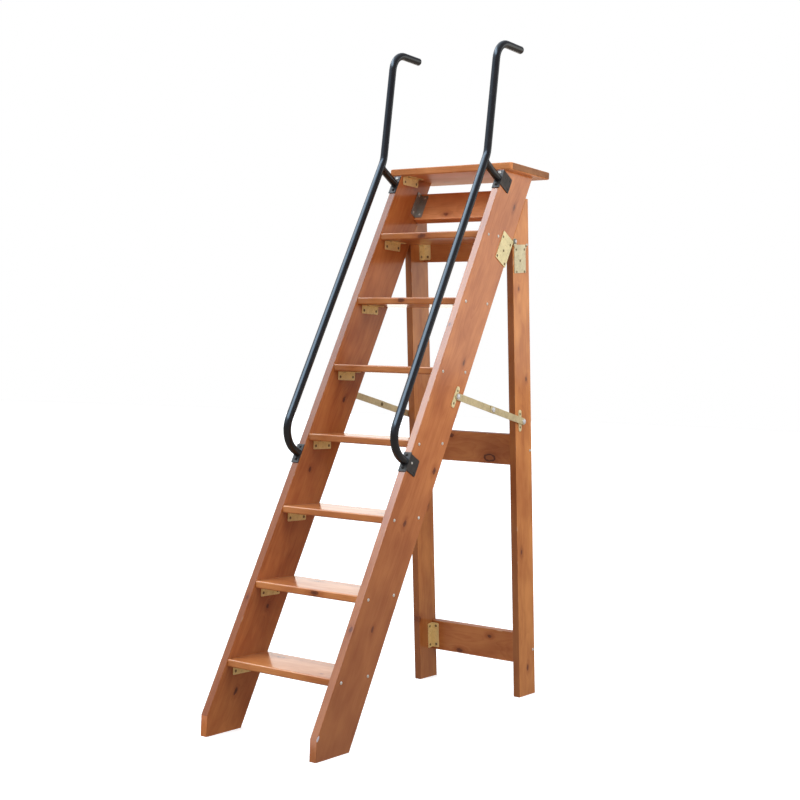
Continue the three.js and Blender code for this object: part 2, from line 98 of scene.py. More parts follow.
class Shader:
    """A material's node tree, with short calls for the nodes that the materials share."""

    def __init__(self, name):
        self.material = bpy.data.materials.new(name)
        self.material.use_nodes = True
        self.tree = self.material.node_tree
        self.tree.nodes.clear()
        self.output = self.tree.nodes.new("ShaderNodeOutputMaterial")
        self.object_place = self.node("ShaderNodeTexCoord").outputs["Object"]

    def node(self, kind, inputs=None, **settings):
        node = self.tree.nodes.new(kind)
        for key, value in settings.items():
            setattr(node, key, value)
        for key, value in (inputs or {}).items():
            self.feed(node.inputs[key], value)
        return node

    def feed(self, socket, value):
        if isinstance(value, bpy.types.NodeSocket):
            self.tree.links.new(value, socket)
        else:
            socket.default_value = value

    def math(self, operation, *values, clamp=False):
        inputs = dict(enumerate(values))
        return self.node("ShaderNodeMath", inputs, operation=operation, use_clamp=clamp).outputs[0]

    def vector(self, operation, *values):
        node = self.node("ShaderNodeVectorMath", dict(enumerate(values)), operation=operation)
        return node.outputs["Value" if operation in ("DOT_PRODUCT", "LENGTH") else "Vector"]

    def combine(self, x, y, z):
        return self.node("ShaderNodeCombineXYZ", {"X": x, "Y": y, "Z": z}).outputs[0]

    def noise(self, place, scale, detail=2.0, roughness=0.5):
        inputs = {"Vector": place, "Scale": scale, "Detail": detail, "Roughness": roughness}
        return self.node("ShaderNodeTexNoise", inputs).outputs[0]

    def remap(self, value, low, high, to_low=0.0, to_high=1.0, smooth=False):
        inputs = {"Value": value, "From Min": low, "From Max": high, "To Min": to_low, "To Max": to_high}
        kind = "SMOOTHSTEP" if smooth else "LINEAR"
        return self.node("ShaderNodeMapRange", inputs, interpolation_type=kind).outputs[0]

    def ramp(self, value, stops):
        """A grey that follows (position, grey) stops."""
        node = self.node("ShaderNodeValToRGB", {"Fac": value})
        elements = node.color_ramp.elements
        while len(elements) < len(stops):
            elements.new(1.0)
        for element, (position, grey) in zip(elements, stops):
            element.position = position
            element.color = (grey, grey, grey, 1)
        return node.outputs["Color"]

    def blend(self, factor, first, second):
        """The first colour at factor 0 and the second at factor 1."""
        node = self.node("ShaderNodeMix", data_type="RGBA")
        for index, value in ((0, factor), (6, first), (7, second)):
            if isinstance(value, tuple) and len(value) == 3:
                value = (*value, 1.0)
            self.feed(node.inputs[index], value)
        return node.outputs[2]

    def bump(self, height, strength, distance, normal=None):
        inputs = {"Height": height, "Strength": strength, "Distance": distance}
        if normal:
            inputs["Normal"] = normal
        return self.node("ShaderNodeBump", inputs).outputs[0]

    def surface(self, **inputs):
        """The finished material. base_color feeds the socket Base Color, and so on."""
        names = {key.replace("_", " ").title().replace("Ior", "IOR"): value for key, value in inputs.items()}
        for key, value in names.items():
            if isinstance(value, tuple) and len(value) == 3:
                names[key] = (*value, 1.0)
        principled = self.node("ShaderNodeBsdfPrincipled", names)
        self.feed(self.output.inputs["Surface"], principled.outputs[0])
        return self.material


# Varnished pine

PALE_WOOD = (0.560, 0.205, 0.066)
MID_WOOD = (0.400, 0.120, 0.034)
DARK_WOOD = (0.225, 0.055, 0.017)
KNOT_WOOD = (0.060, 0.016, 0.008)
CHIPPED_WOOD = (0.72, 0.46, 0.28)
# The colour that front faces and feet are darkened towards; on the rear legs' fronts it is painted shade.
DARKENED_WOOD = (0.160, 0.042, 0.018)
DIRTY_END = (0.09, 0.067, 0.048)
BARE_FILLER = (0.62, 0.64, 0.72)
THIN_STAIN = (0.90, 0.42, 0.20)
RING_WIDTH = 7.5 * MM
LATE_WOOD = [(0.0, 0.12), (0.45, 0.24), (0.80, 0.85), (0.93, 1.0), (1.0, 0.12)]  # how dark across a ring
WIDE_KNOT = 9.5 * MM  # a knot with a larger half width has a lighter heart inside its ring
SKIN = 0.9 * MM  # how far below a face its own darkening or stain still shows
EDGE_FROM, EDGE_FULL = 4.8 * MM, 1.6 * MM  # where the painted highlight and the rubbed spots at a long edge start and are full


class Board:
    """Where a pine board lies: the place it is measured from, its three directions, its width and its
    thickness, and where the middle of its section is in (wide, thick)."""

    def __init__(self, origin, along, wide, thick, width, thickness, centre=(0.0, 0.0)):
        self.origin, self.along, self.wide, self.thick = origin, along, wide, thick
        self.width, self.thickness, self.centre = width, thickness, centre


@dataclass
class WearAndShade:
    """How one board has aged and how its colour is darkened. front_darkening is how much darker its front
    face is, which on the rear legs is painted shade, and foot_darkening is how much darker it gets towards
    its foot and how far up that goes. bare_ends is how far from the middle its dirty end grain starts, and
    such a board also has a thinly stained underside. A chip is (along, wide, thick) and its half sizes, in
    millimetres."""

    gloss: float = 0.8
    front_darkening: float = 0.0
    foot_darkening: tuple = ()
    bare_ends: float = 0.0
    chips: tuple = ()


class PineShader(Shader):
    """The material of one board. run, width and depth are a point's place along, across and through it."""

    def __init__(self, name, board, seed):
        super().__init__(name)
        self.board, self.seed = board, seed
        place = self.vector("SUBTRACT", self.object_place, board.origin)
        self.run = self.vector("DOT_PRODUCT", place, board.along)
        self.width = self.vector("DOT_PRODUCT", place, board.wide)
        self.depth = self.vector("DOT_PRODUCT", place, board.thick)
        self.place = self.combine(self.run, self.width, self.depth)
        uneven = self.noise(self.place, 75.0, 2.0)
        self.waver = self.math("MULTIPLY", self.math("SUBTRACT", uneven, 0.5), 1.1)

    def drawn_noise(self, along_scale, across_scale, detail, roughness=0.5, shift=0.0):
        """Noise that is drawn out along the grain."""
        place = self.combine(
            self.math("MULTIPLY", self.run, along_scale),
            self.math("MULTIPLY", self.width, across_scale),
            self.math("MULTIPLY_ADD", self.depth, across_scale, self.seed + shift),
        )
        return self.noise(place, 1.0, detail, roughness)

    def spread(self, spot):
        """How far out of an oval spot a point is: 0 in its middle and 1 on its edge. The spot is (along,
        wide, thick) and its half sizes in those three directions."""
        offset = self.vector("SUBTRACT", self.place, spot[:3])
        return self.vector("LENGTH", self.vector("DIVIDE", offset, spot[3:]))

    def knot_masks(self, knots):
        """Where the knots are, the wood they stain, how far they push the rings, their own rings, and the
        lighter hearts of the wide ones."""
        mask, halo, push, rings, heart = 0.0, 0.0, 0.0, 0.0, 0.0
        for knot in knots:
            half_width = knot[4]
            wide_knot = half_width > WIDE_KNOT
            waver_share, full_from = (0.45, 0.95) if wide_knot else (1.0, 0.75)
            spread = self.math("MULTIPLY_ADD", self.waver, waver_share, self.spread(knot))
            inside = self.remap(spread, 1.15, full_from, smooth=True)
            near = self.remap(spread, 3.2, 0.9, smooth=True)
            fall = self.math("MULTIPLY", self.math("MULTIPLY", spread, spread), -0.16)
            bulge = self.math("MULTIPLY", self.math("POWER", 2.72, fall), half_width * 1.6)
            mask = self.math("MAXIMUM", mask, inside)
            halo = self.math("MAXIMUM", halo, near)
            push = self.math("ADD", push, bulge)
            rings = self.math("ADD", rings, self.math("MULTIPLY", spread, inside))
            if wide_knot:
                lighter = self.remap(spread, 0.74, 0.50, 0.0, 0.75, smooth=True)
                heart = self.math("MAXIMUM", heart, lighter)
        return mask, halo, push, rings, heart

    def late_wood(self, pith, push):
        """The dark part of each growth ring about the pith line, which wanders along the board."""
        drift = self.drawn_noise(2.2, 8.0, 2.0)
        drift = self.math("MULTIPLY", self.math("SUBTRACT", drift, 0.5), 0.075)
        from_pith_w = self.math("ADD", self.math("SUBTRACT", self.width, pith[0]), drift)
        from_pith_t = self.math("ADD", self.math("SUBTRACT", self.depth, pith[1]), drift)
        squares = self.math("MULTIPLY", from_pith_w, from_pith_w)
        squares = self.math("MULTIPLY_ADD", from_pith_t, from_pith_t, squares)
        radius = self.math("ADD", self.math("SQRT", squares), push)
        scaled_run = self.math("MULTIPLY", self.run, 0.5)
        place = self.combine(self.math("MULTIPLY", radius, 90.0), scaled_run, self.seed)
        uneven = self.math("MULTIPLY", self.noise(place, 1.0, 1.0), 2.2)
        rings = self.math("ADD", self.math("DIVIDE", radius, RING_WIDTH), uneven)
        return self.ramp(self.math("FRACT", rings), LATE_WOOD)

    def front_face(self):
        return self.math("LESS_THAN", self.width, self.board.centre[0] - self.board.width / 2 + SKIN)

    def underside(self):
        return self.math("LESS_THAN", self.depth, self.board.centre[1] - self.board.thickness / 2 + SKIN)

    def near_long_edge(self):
        half_sizes = (self.board.width / 2, self.board.thickness / 2)
        gaps = []
        for half, value, middle_value in zip(half_sizes, (self.width, self.depth), self.board.centre):
            off_middle = self.math("ABSOLUTE", self.math("SUBTRACT", value, middle_value))
            gaps.append(self.math("SUBTRACT", half, off_middle))
        return self.remap(self.math("ADD", *gaps), EDGE_FROM, EDGE_FULL, smooth=True)

    def age_and_shade(self, colour, wear_and_shade):
        """Darkening at the front face and towards the foot, dirty end grain, a thinly stained underside, bare
        wood and chips over the stained colour. On the rear legs the darker front is painted shade.
        """
        # A darker front face: on the rear legs this is painted shade, standing in for the shade that the
        # stringers and treads cast on their narrow fronts.
        if wear_and_shade.front_darkening:
            darkening = self.math("MULTIPLY", self.front_face(), wear_and_shade.front_darkening)
            colour = self.blend(darkening, colour, DARKENED_WOOD)
        # Darker towards the foot of the board.
        if wear_and_shade.foot_darkening:
            dirtiest, clean_from = wear_and_shade.foot_darkening
            darkening = self.remap(self.run, clean_from, clean_from * 0.3, 0.0, dirtiest, smooth=True)
            colour = self.blend(darkening, colour, DARKENED_WOOD)
        if wear_and_shade.bare_ends:
            end_grain = self.math("GREATER_THAN", self.math("ABSOLUTE", self.run), wear_and_shade.bare_ends)
            colour = self.blend(self.math("MULTIPLY", end_grain, 0.6), colour, DIRTY_END)
            colour = self.blend(self.math("MULTIPLY", self.underside(), 0.62), colour, THIN_STAIN)
        for chip in in_metres(wear_and_shade.chips):
            chipped = self.math("ADD", self.spread(chip), self.waver)
            chipped = self.remap(chipped, 1.05, 0.90, 0.0, 0.9, smooth=True)
            colour = self.blend(chipped, colour, BARE_FILLER)
        return colour


def in_metres(spots):
    return [tuple(v * MM for v in spot) for spot in spots]


def pine(name, board, pith, knots, tone, seed, wear_and_shade):
    """Stained pine whose growth rings run about a pith line along the board. pith is that line's place in
    (wide, thick). A knot is (along, wide, thick) and its half sizes in those three directions."""
    sh = PineShader(name, board, seed)
    knot_mask, knot_halo, knot_push, knot_rings, knot_heart = sh.knot_masks(knots)
    late = sh.late_wood(pith, knot_push)

    # The stain takes unevenly: soft clouds, long streaks and fine fibres.
    fibres = sh.drawn_noise(5.0, 380.0, 4.0, 0.65)
    streaks = sh.drawn_noise(1.6, 46.0, 3.0, 0.6)
    blotch = sh.drawn_noise(5.5, 13.0, 3.0, 0.55)
    cloud = sh.drawn_noise(2.1, 4.5, 2.0, shift=7.0)
    clear = sh.remap(cloud, 0.35, 0.65, 0.35, 1.0)
    dark = sh.math("MULTIPLY", late, sh.math("MULTIPLY", clear, 0.18))
    dark = sh.math("ADD", dark, sh.remap(fibres, 0.30, 0.70, -0.04, 0.07))
    dark = sh.math("ADD", dark, sh.remap(streaks, 0.30, 0.70, -0.03, 0.09))
    dark = sh.math("ADD", dark, sh.remap(blotch, 0.30, 0.70, -0.12, 0.44))
    dark = sh.math("ADD", dark, sh.math("MULTIPLY", knot_halo, 0.30), clamp=True)
    pale, mid, deep = (tuple(c * t for c, t in zip(wood, tone)) for wood in (PALE_WOOD, MID_WOOD, DARK_WOOD))
    colour = sh.blend(sh.remap(dark, 0.0, 0.5), pale, mid)
    colour = sh.blend(sh.remap(dark, 0.5, 1.0), colour, deep)

    if knots:
        knot_ring = sh.math("FRACT", sh.math("MULTIPLY", knot_rings, 1.35))
        knot_colour = sh.blend(sh.math("MULTIPLY", knot_ring, 0.8), KNOT_WOOD, deep)
        knot_colour = sh.blend(knot_heart, knot_colour, mid)
        colour = sh.blend(sh.math("MULTIPLY", knot_mask, 0.95), colour, knot_colour)

    # The stain is rubbed through in small spots along the board's long edges, and there the colour is lifted
    # towards pale as a painted highlight of the rounded edges.
    near_edge = sh.near_long_edge()
    rubbed = sh.drawn_noise(22.0, 60.0, 3.0)
    worn = sh.math("MULTIPLY", near_edge, sh.remap(rubbed, 0.58, 0.72, 0.0, 0.6, smooth=True))
    # Painted highlight along the long edges.
    colour = sh.blend(sh.math("MULTIPLY", near_edge, 0.35), colour, pale)
    colour = sh.blend(worn, colour, CHIPPED_WOOD)
    colour = sh.age_and_shade(colour, wear_and_shade)

    roughness = sh.remap(blotch, 0.3, 0.7, 0.34, 0.46)
    roughness = sh.math("ADD", roughness, sh.math("MULTIPLY", worn, 0.4))
    relief = sh.math("ADD", sh.math("MULTIPLY", late, 0.5), sh.math("MULTIPLY", fibres, 0.5))
    normal = sh.bump(relief, 0.16, 0.4 * MM)
    if knots:
        normal = sh.bump(knot_mask, 0.35, 0.6 * MM, normal)
    return sh.surface(
        base_color=colour,
        roughness=roughness,
        normal=normal,
        specular_ior_level=0.08,
        coat_weight=wear_and_shade.gloss,
        coat_roughness=0.14,
        coat_ior=1.58,
    )


# Metals and paint

BRIGHT_ZINC = (0.72, 0.73, 0.75)
DULL_ZINC = (0.66, 0.64, 0.59)
DARK_ZINC = (0.20, 0.21, 0.19)
GALVANISED = (0.27, 0.27, 0.245)
BRASS = (0.84, 0.66, 0.32)
PALE_BRASS = (0.74, 0.65, 0.38)
DULL_BRASS = (0.60, 0.54, 0.36)
LINK_BRASS = (0.55, 0.46, 0.27)
AGED_BRASS = (0.20, 0.145, 0.07)
TARNISH = (0.66, 0.56, 0.42)  # what is left of each primary in a tarnished spot
ENAMEL, DUSTY_ENAMEL = (0.009, 0.006, 0.006), (0.016, 0.012, 0.011)
ENAMEL_TINT = (0.66, 0.84, 1.0)
MATT_BLACK, THIN_BLACK = (0.018, 0.017, 0.018), (0.042, 0.035, 0.031)
FLOOR_GREYS = (0.60, 0.60, 0.60), (0.63, 0.63, 0.63)
WHITE = (1.0, 1.0, 1.0)


def plated_steel(name, colour, roughness, rivet_from=None):
    """Rolled and plated sheet: faint tarnish, fine scratches and dull spots. Beyond rivet_from sideways
    the same node shows the bright zinc of its rivet."""
    sh = Shader(name)
    cloud = sh.noise(sh.object_place, 38.0, 3.0, 0.6)
    grime = sh.noise(sh.object_place, 140.0, 4.0, 0.7)
    scratch = sh.noise(sh.vector("MULTIPLY", sh.object_place, (700.0, 900.0, 60.0)), 1.0, 2.0)
    tarnished = tuple(c * s for c, s in zip(colour, TARNISH))
    pale = tuple(min(1.0, c * 1.18 + 0.02) for c in colour)
    base = sh.blend(sh.remap(cloud, 0.35, 0.65), pale, colour)
    base = sh.blend(sh.remap(grime, 0.52, 0.74, 0.0, 0.7, smooth=True), base, tarnished)
    rough = sh.remap(grime, 0.3, 0.7, roughness - 0.08, roughness + 0.14)
    rough = sh.math("ADD", rough, sh.remap(scratch, 0.6, 0.8, 0.0, 0.08))
    if rivet_from is not None:
        x = sh.node("ShaderNodeSeparateXYZ", {0: sh.object_place}).outputs[0]
        on_rivet = sh.math("GREATER_THAN", sh.math("ABSOLUTE", x), rivet_from)
        base = sh.blend(on_rivet, base, BRIGHT_ZINC)
        rough = sh.math("SUBTRACT", rough, sh.math("MULTIPLY", on_rivet, 0.12))
    relief = sh.math("ADD", sh.math("MULTIPLY", scratch, 0.4), grime)
    return sh.surface(base_color=base, metallic=0.45, roughness=rough, normal=sh.bump(relief, 0.12, 0.2 * MM))


def painted_tube(name):
    """Gloss black enamel with a faint orange-peel skin and thin dust."""
    sh = Shader(name)
    peel = sh.noise(sh.object_place, 70.0, 2.0)
    dust = sh.noise(sh.object_place, 26.0, 4.0, 0.65)
    base = sh.blend(sh.remap(dust, 0.35, 0.75), ENAMEL, DUSTY_ENAMEL)
    rough = sh.remap(dust, 0.3, 0.7, 0.15, 0.23)
    return sh.surface(
        base_color=base,
        roughness=rough,
        normal=sh.bump(peel, 0.02, 0.2 * MM),
        ior=1.62,
        specular_tint=ENAMEL_TINT,
    )


def painted_bracket(name):
    """Brushed-on matt black over steel plate, a little brown where it is thin."""
    sh = Shader(name)
    cloud = sh.noise(sh.object_place, 55.0, 4.0, 0.65)
    grain = sh.noise(sh.object_place, 420.0, 3.0)
    base = sh.blend(sh.remap(cloud, 0.35, 0.70), MATT_BLACK, THIN_BLACK)
    rough = sh.remap(grain, 0.3, 0.7, 0.42, 0.60)
    normal = sh.bump(grain, 0.2, 0.3 * MM)
    return sh.surface(base_color=base, roughness=rough, normal=normal, specular_ior_level=0.5)


def floor_material():
    """A pale floor that glows a little, so that it meets the backdrop without a line."""
    sh = Shader("pale_floor")
    cloud = sh.noise(sh.object_place, 0.6, 2.0)
    base = sh.blend(cloud, *FLOOR_GREYS)
    return sh.surface(base_color=base, roughness=0.9, emission_color=WHITE, emission_strength=0.68)


def backdrop_material():
    sh = Shader("white_backdrop")
    glow = sh.node("ShaderNodeEmission", {"Color": (*WHITE, 1.0), "Strength": 1.0})
    sh.feed(sh.output.inputs["Surface"], glow.outputs[0])
    return sh.material


# Where each pine board lies, with its knots, its stain, its wear and its painted shade

UP = Vector((0, 0, 1))
BACK = Vector((0, 1, 0))
BOARD = 28 * MM
STRINGER_WIDTH = 184 * MM
RAIL_WIDTH = 118 * MM

# (along, wide, half length, half width) in millimetres from the board's origin. These go through the board.
KNOTS = {
    "stringer_right": [
        (400, 98, 13, 6),
        (775, 88, 13, 8),
        (1001, 157, 13, 9),
        (1410, 128, 11, 5),
        (2067, 131, 13, 6),
    ],
    "stringer_left": [
        (116, 93, 15, 7),
        (425, 102, 9, 6),
        (932, 70, 10, 7),
        (1240, 120, 13, 7),
        (1300, 66, 10, 5),
    ],
    "rear_rail_middle": [(71, -37, 27, 15), (-105, 42, 13, 9), (-176, -20, 7, 5)],
    "rear_rail_bottom": [(56, 29, 10, 7), (-86, -48, 14, 9)],
    "rear_rail_top": [(-60, 12, 12, 8), (120, -28, 8, 6)],
    "upper_back_rail": [(-72, -39, 12, 7), (118, 20, 9, 6)],
    "rear_leg_right": [(103, 63, 13, 7), (560, 30, 11, 6), (1216, 84, 10, 7), (1560, 40, 8, 5)],
    "rear_leg_left": [(246, 4, 12, 8), (700, 76, 12, 7), (1330, 36, 9, 6)],
    "tread_1": [(-112, 52, 15, 10), (150, -60, 7, 5)],
    "tread_2": [(-70, 52, 14, 9)],
    "tread_3": [(160, -30, 9, 7), (-20, 70, 12, 7)],
    "tread_4": [(-130, 20, 11, 8)],
    "tread_5": [(60, -66, 10, 7), (-165, 64, 8, 6)],
    "tread_6": [(-96, 10, 12, 8)],
    "tread_7": [(30, 60, 12, 8), (150, -20, 7, 5)],
    "platform": [(-140, 60, 15, 10), (96, -70, 10, 7), (200, 84, 9, 6)],
}

# Small knots that show on one edge only: (along, wide, thick) and their half sizes, in millimetres
EDGE_KNOTS = {
    "stringer_right": [(363, 1, 4, 11, 7, 7), (1492, 1, -3, 6, 5, 4)],
    "stringer_left": [(416, 1, 2, 8, 6, 5)],
    "tread_2": [(40, -101, 0, 16, 9, 8)],
    "tread_6": [(-20, -101, 2, 14, 9, 8)],
    "tread_7": [(-30, -101, -2, 18, 9, 9)],
}
THROUGH = 400  # half size through a board's thickness, so large that a knot is the same on both faces

# How light each kind of board took the stain
TONES = {
    "stringer": (0.96, 0.90, 0.81),
    "rear_leg": (1.10, 1.16, 0.96),
    "rear_rail": (0.88, 0.84, 0.80),
    "upper_back_rail": (1.60, 1.90, 2.40),
    "tread": (1.06, 1.10, 1.06),
    "platform": (1.14, 1.26, 1.50),
}

# The boards whose varnish, darkening or wear is their own. The darker fronts of the rear legs are painted
# shade; the other boards are only darker at the front or towards the foot. The foot of the right stringer is
# chipped to the filler.
WEAR_AND_SHADE = {
    "platform": WearAndShade(gloss=0.0, bare_ends=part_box("platform")[1].x - SKIN),
    "stringer_right": WearAndShade(
        gloss=1.0,
        front_darkening=0.15,
        foot_darkening=(0.36, 1.15),
        chips=((5, 3, 13.5, 10, 4, 2),),
    ),
    "stringer_left": WearAndShade(gloss=0.45, front_darkening=0.62),
    # The rear legs' darker fronts are painted shade, where the stringers and treads shade them.
    "rear_leg_right": WearAndShade(front_darkening=0.65),
    "rear_leg_left": WearAndShade(front_darkening=0.65, foot_darkening=(0.40, 0.50)),
    "tread_3": WearAndShade(front_darkening=0.10),
    "tread_4": WearAndShade(front_darkening=0.18),
    "tread_5": WearAndShade(front_darkening=0.18),
    "tread_6": WearAndShade(front_darkening=0.20),
    "tread_7": WearAndShade(front_darkening=0.20),
    "rear_rail_bottom": WearAndShade(front_darkening=0.20),
    "rear_rail_middle": WearAndShade(front_darkening=0.15),
}


def board_of(node):
    """The Board of a pine node. Stringers and legs are measured from their lower front corner, and the
    others from their middle."""
    centre = middle(node)
    if node.startswith("stringer"):
        origin = STRINGER.origin + X_AXIS * centre.x
        section_middle = (STRINGER_WIDTH / 2, 0.0)
        return Board(origin, STRINGER.along, STRINGER.across, X_AXIS, STRINGER_WIDTH, BOARD, section_middle)
    if node.startswith("rear_leg"):
        origin = LEG.origin + X_AXIS * centre.x
        return Board(origin, LEG.along, LEG.across, X_AXIS, LEG_DEPTH, BOARD, (LEG_DEPTH / 2, 0.0))
    if node.startswith("rear_rail"):
        return Board(centre, X_AXIS, LEG.along, LEG.across, RAIL_WIDTH, BOARD)
    if node == "upper_back_rail":
        return Board(centre, X_AXIS, STRINGER.along, STRINGER.across, RAIL_WIDTH, BOARD)
    low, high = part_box(node)
    return Board(centre, X_AXIS, BACK, UP, high.y - low.y, high.z - low.z)


def paint_boards():
    draw = random.Random(11)
    boards = sorted(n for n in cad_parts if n.startswith(tuple(TONES)) and "bracket" not in n)
    for node in boards:
        board = board_of(node)
        pith_across = board.centre[0] + draw.uniform(-0.3, 0.3) * board.width
        pith_behind = draw.choice((-1, 1)) * draw.uniform(0.045, 0.10)
        knots = [(x, y, 0, half_x, half_y, THROUGH) for x, y, half_x, half_y in KNOTS[node]]
        knots = in_metres(knots + EDGE_KNOTS.get(node, []))
        kind = next(k for k in TONES if node.startswith(k))
        shade = draw.uniform(0.96, 1.04)
        tone = tuple(c * shade for c in TONES[kind])
        seed = draw.uniform(0.0, 40.0)
        wear_and_shade = WEAR_AND_SHADE.get(node, WearAndShade())
        dress(node, pine(f"pine_{node}", board, (pith_across, pith_behind), knots, tone, seed, wear_and_shade))


# Putting materials and edge-softening modifiers on the CAD nodes

WELD_GAP = 0.004 * MM
SHARP_EDGE = math.radians(50)
FLAT_ANGLE = math.radians(0.5)
ROUNDED_EDGE = math.radians(40)


def shading_group(angle):
    """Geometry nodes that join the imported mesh's split points and shade it smooth below an edge angle."""
    group = bpy.data.node_groups.new("weld_and_shade", "GeometryNodeTree")
    group.interface.new_socket("Geometry", in_out="INPUT", socket_type="NodeSocketGeometry")
    group.interface.new_socket("Geometry", in_out="OUTPUT", socket_type="NodeSocketGeometry")
    make = group.nodes.new
    link = group.links.new
    source, target = make("NodeGroupInput"), make("NodeGroupOutput")
    plain = make("GeometryNodeRemoveAttribute")
    plain.inputs["Name"].default_value = "custom_normal"
    merge = make("GeometryNodeMergeByDistance")
    merge.inputs["Distance"].default_value = WELD_GAP
    faces = make("GeometryNodeSetShadeSmooth")
    edges = make("GeometryNodeSetShadeSmooth")
    edges.domain = "EDGE"
    edges.inputs["Shade Smooth"].default_value = False
    edge_angle = make("GeometryNodeInputMeshEdgeAngle")
    sharp = make("FunctionNodeCompare")
    sharp.operation = "GREATER_THAN"
    sharp.inputs[1].default_value = angle
    link(source.outputs[0], plain.inputs[0])
    link(plain.outputs[0], merge.inputs[0])
    link(merge.outputs[0], faces.inputs["Geometry"])
    link(faces.outputs[0], edges.inputs["Geometry"])
    link(edge_angle.outputs["Unsigned Angle"], sharp.inputs[0])
    link(sharp.outputs[0], edges.inputs["Selection"])
    link(edges.outputs[0], target.inputs[0])
    return group


SHADE = shading_group(SHARP_EDGE)


def dress(node, material, rounding=0.0):
    """Gives a CAD node its material, joined points and, where it is cut plate, softened edges."""
    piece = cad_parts[node]
    piece.data.materials.clear()
    piece.data.materials.append(material)
    weld = piece.modifiers.new("weld", "NODES")
    weld.node_group = SHADE
    if rounding:
        flats = piece.modifiers.new("flats", "DECIMATE")
        flats.decimate_type = "DISSOLVE"
        flats.angle_limit = FLAT_ANGLE
        edge = piece.modifiers.new("edge", "BEVEL")
        edge.width = rounding
        edge.segments = 2
        edge.angle_limit = ROUNDED_EDGE
        shade = piece.modifiers.new("shade", "NODES")
        shade.node_group = SHADE
    normals = piece.modifiers.new("normals", "WEIGHTED_NORMAL")
    normals.keep_sharp = True
    normals.weight = 80


PLATE_EDGE = 0.5 * MM

# How far out sideways the bright rivet or bolt end of a node starts
EAR_RIVET_FROM = OUTER + 2.9 * MM
LINK_RIVET_FROM = OUTER + 9.5 * MM
PIN_END_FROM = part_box("hinge_pin_right")[1].x - 0.7 * MM


def paint_metals():
    brackets = plated_steel("brass_bracket", BRASS, 0.46)
    plates = plated_steel("brass_plate", PALE_BRASS, 0.46)
    galvanised = plated_steel("galvanised_bracket", GALVANISED, 0.34)
    dull_plates = plated_steel("dull_brass_plate", DULL_BRASS, 0.40)
    pin = plated_steel("zinc_pin", DARK_ZINC, 0.34, PIN_END_FROM)
    enamel = painted_tube("black_enamel")
    matt = painted_bracket("black_bracket")
    ear = plated_steel("brass_ear", PALE_BRASS, 0.33, EAR_RIVET_FROM)
    link_front = plated_steel("brass_link_front", LINK_BRASS, 0.34)
    link_rear = plated_steel("brass_link_rear", LINK_BRASS, 0.34, LINK_RIVET_FROM)
    for hand in SIDES:
        for i in range(1, TREADS + 1):
            dress(f"tread_bracket_{i}_{hand}", brackets, PLATE_EDGE)
        dress(f"platform_bracket_{hand}", brackets, PLATE_EDGE)
        dress(f"upper_rail_bracket_{hand}", galvanised, PLATE_EDGE)
        for height in RAIL_HEIGHTS:
            dress(f"rear_rail_bracket_{height}_{hand}", brackets, PLATE_EDGE)
        dress(f"hinge_front_plate_{hand}", plates, PLATE_EDGE)
        dress(f"hinge_rear_plate_{hand}", dull_plates, PLATE_EDGE)
        dress(f"hinge_pin_{hand}", pin)
        dress(f"stay_ear_front_{hand}", ear)
        dress(f"stay_ear_rear_{hand}", ear)
        dress(f"stay_link_front_{hand}", link_front, PLATE_EDGE)
        dress(f"stay_link_rear_{hand}", link_rear)
        dress(f"handrail_{hand}", enamel)
        dress(f"handrail_bracket_lower_{hand}", matt, PLATE_EDGE)
        dress(f"handrail_bracket_upper_{hand}", matt, PLATE_EDGE)


# Screws and bolts


def turned(name, profile, sectors=20):
    """A solid of revolution about Z from (radius, height) points in millimetres, as a mesh object."""
    mesh = bmesh.new()
    rings = []
    for radius, height in in_metres(profile):
        if radius == 0:
            rings.append([mesh.verts.new((0, 0, height))])
            continue
        ring = []
        for k in range(sectors):
            turn = 2 * math.pi * k / sectors
            ring.append(mesh.verts.new((radius * math.cos(turn), radius * math.sin(turn), height)))
        rings.append(ring)
    for lower, upper in zip(rings, rings[1:]):
        for k in range(sectors):
            after = (k + 1) % sectors
            if len(lower) == 1:
                mesh.faces.new((lower[0], upper[k], upper[after]))
            elif len(upper) == 1:
                mesh.faces.new((lower[k], lower[after], upper[0]))
            else:
                mesh.faces.new((lower[k], lower[after], upper[after], upper[k]))
    bmesh.ops.recalc_face_normals(mesh, faces=mesh.faces)
    data = bpy.data.meshes.new(name)
    mesh.to_mesh(data)
    mesh.free()
    piece = bpy.data.objects.new(name, data)
    bpy.context.scene.collection.objects.link(piece)
    return piece


RECESS_TAPER = 0.45
RECESS_OVERRUN = 0.3  # how far the cutter stands out of the head, in millimetres


def cross_recess(arm, width, depth, top):
    """The tapered cross that a screwdriver fits, as one mesh. All sizes are in millimetres."""
    cutter = bmesh.new()
    tall = depth + RECESS_OVERRUN
    centre = top - depth + tall / 2
    for turn in (0, math.pi / 2):
        made = bmesh.ops.create_cube(cutter, size=1.0)["verts"]
        for v in made:
            taper = 1.0 if v.co.z > 0 else RECESS_TAPER
            place = (v.co.x * 2 * arm * taper, v.co.y * width * taper, v.co.z * tall + centre)
            v.co = Vector(place) * MM
        bmesh.ops.rotate(cutter, verts=made, cent=(0, 0, 0), matrix=Matrix.Rotation(turn, 3, "Z"))
    data = bpy.data.meshes.new("recess")
    cutter.to_mesh(data)
    cutter.free()
    piece = bpy.data.objects.new("recess", data)
    bpy.context.scene.collection.objects.link(piece)
    return piece


def head_template(name, profile, recess):
    """Points and faces of one screw head with its recess cut in. profile is (radius, height) points and
    recess is (arm, width, depth), in millimetres."""
    head = turned(name, profile)
    cutter = cross_recess(*recess, top=profile[-1][1])
    cut = head.modifiers.new("cut", "BOOLEAN")
    cut.object = cutter
    cut.operation = "DIFFERENCE"
    cut.solver = "EXACT"
    cut.use_self = True
    bpy.context.view_layer.update()
    shaped = head.evaluated_get(bpy.context.evaluated_depsgraph_get()).to_mesh()
    points = [v.co.copy() for v in shaped.vertices]
    faces = [tuple(p.vertices) for p in shaped.polygons]
    bpy.data.objects.remove(head)
    bpy.data.objects.remove(cutter)
    return points, faces


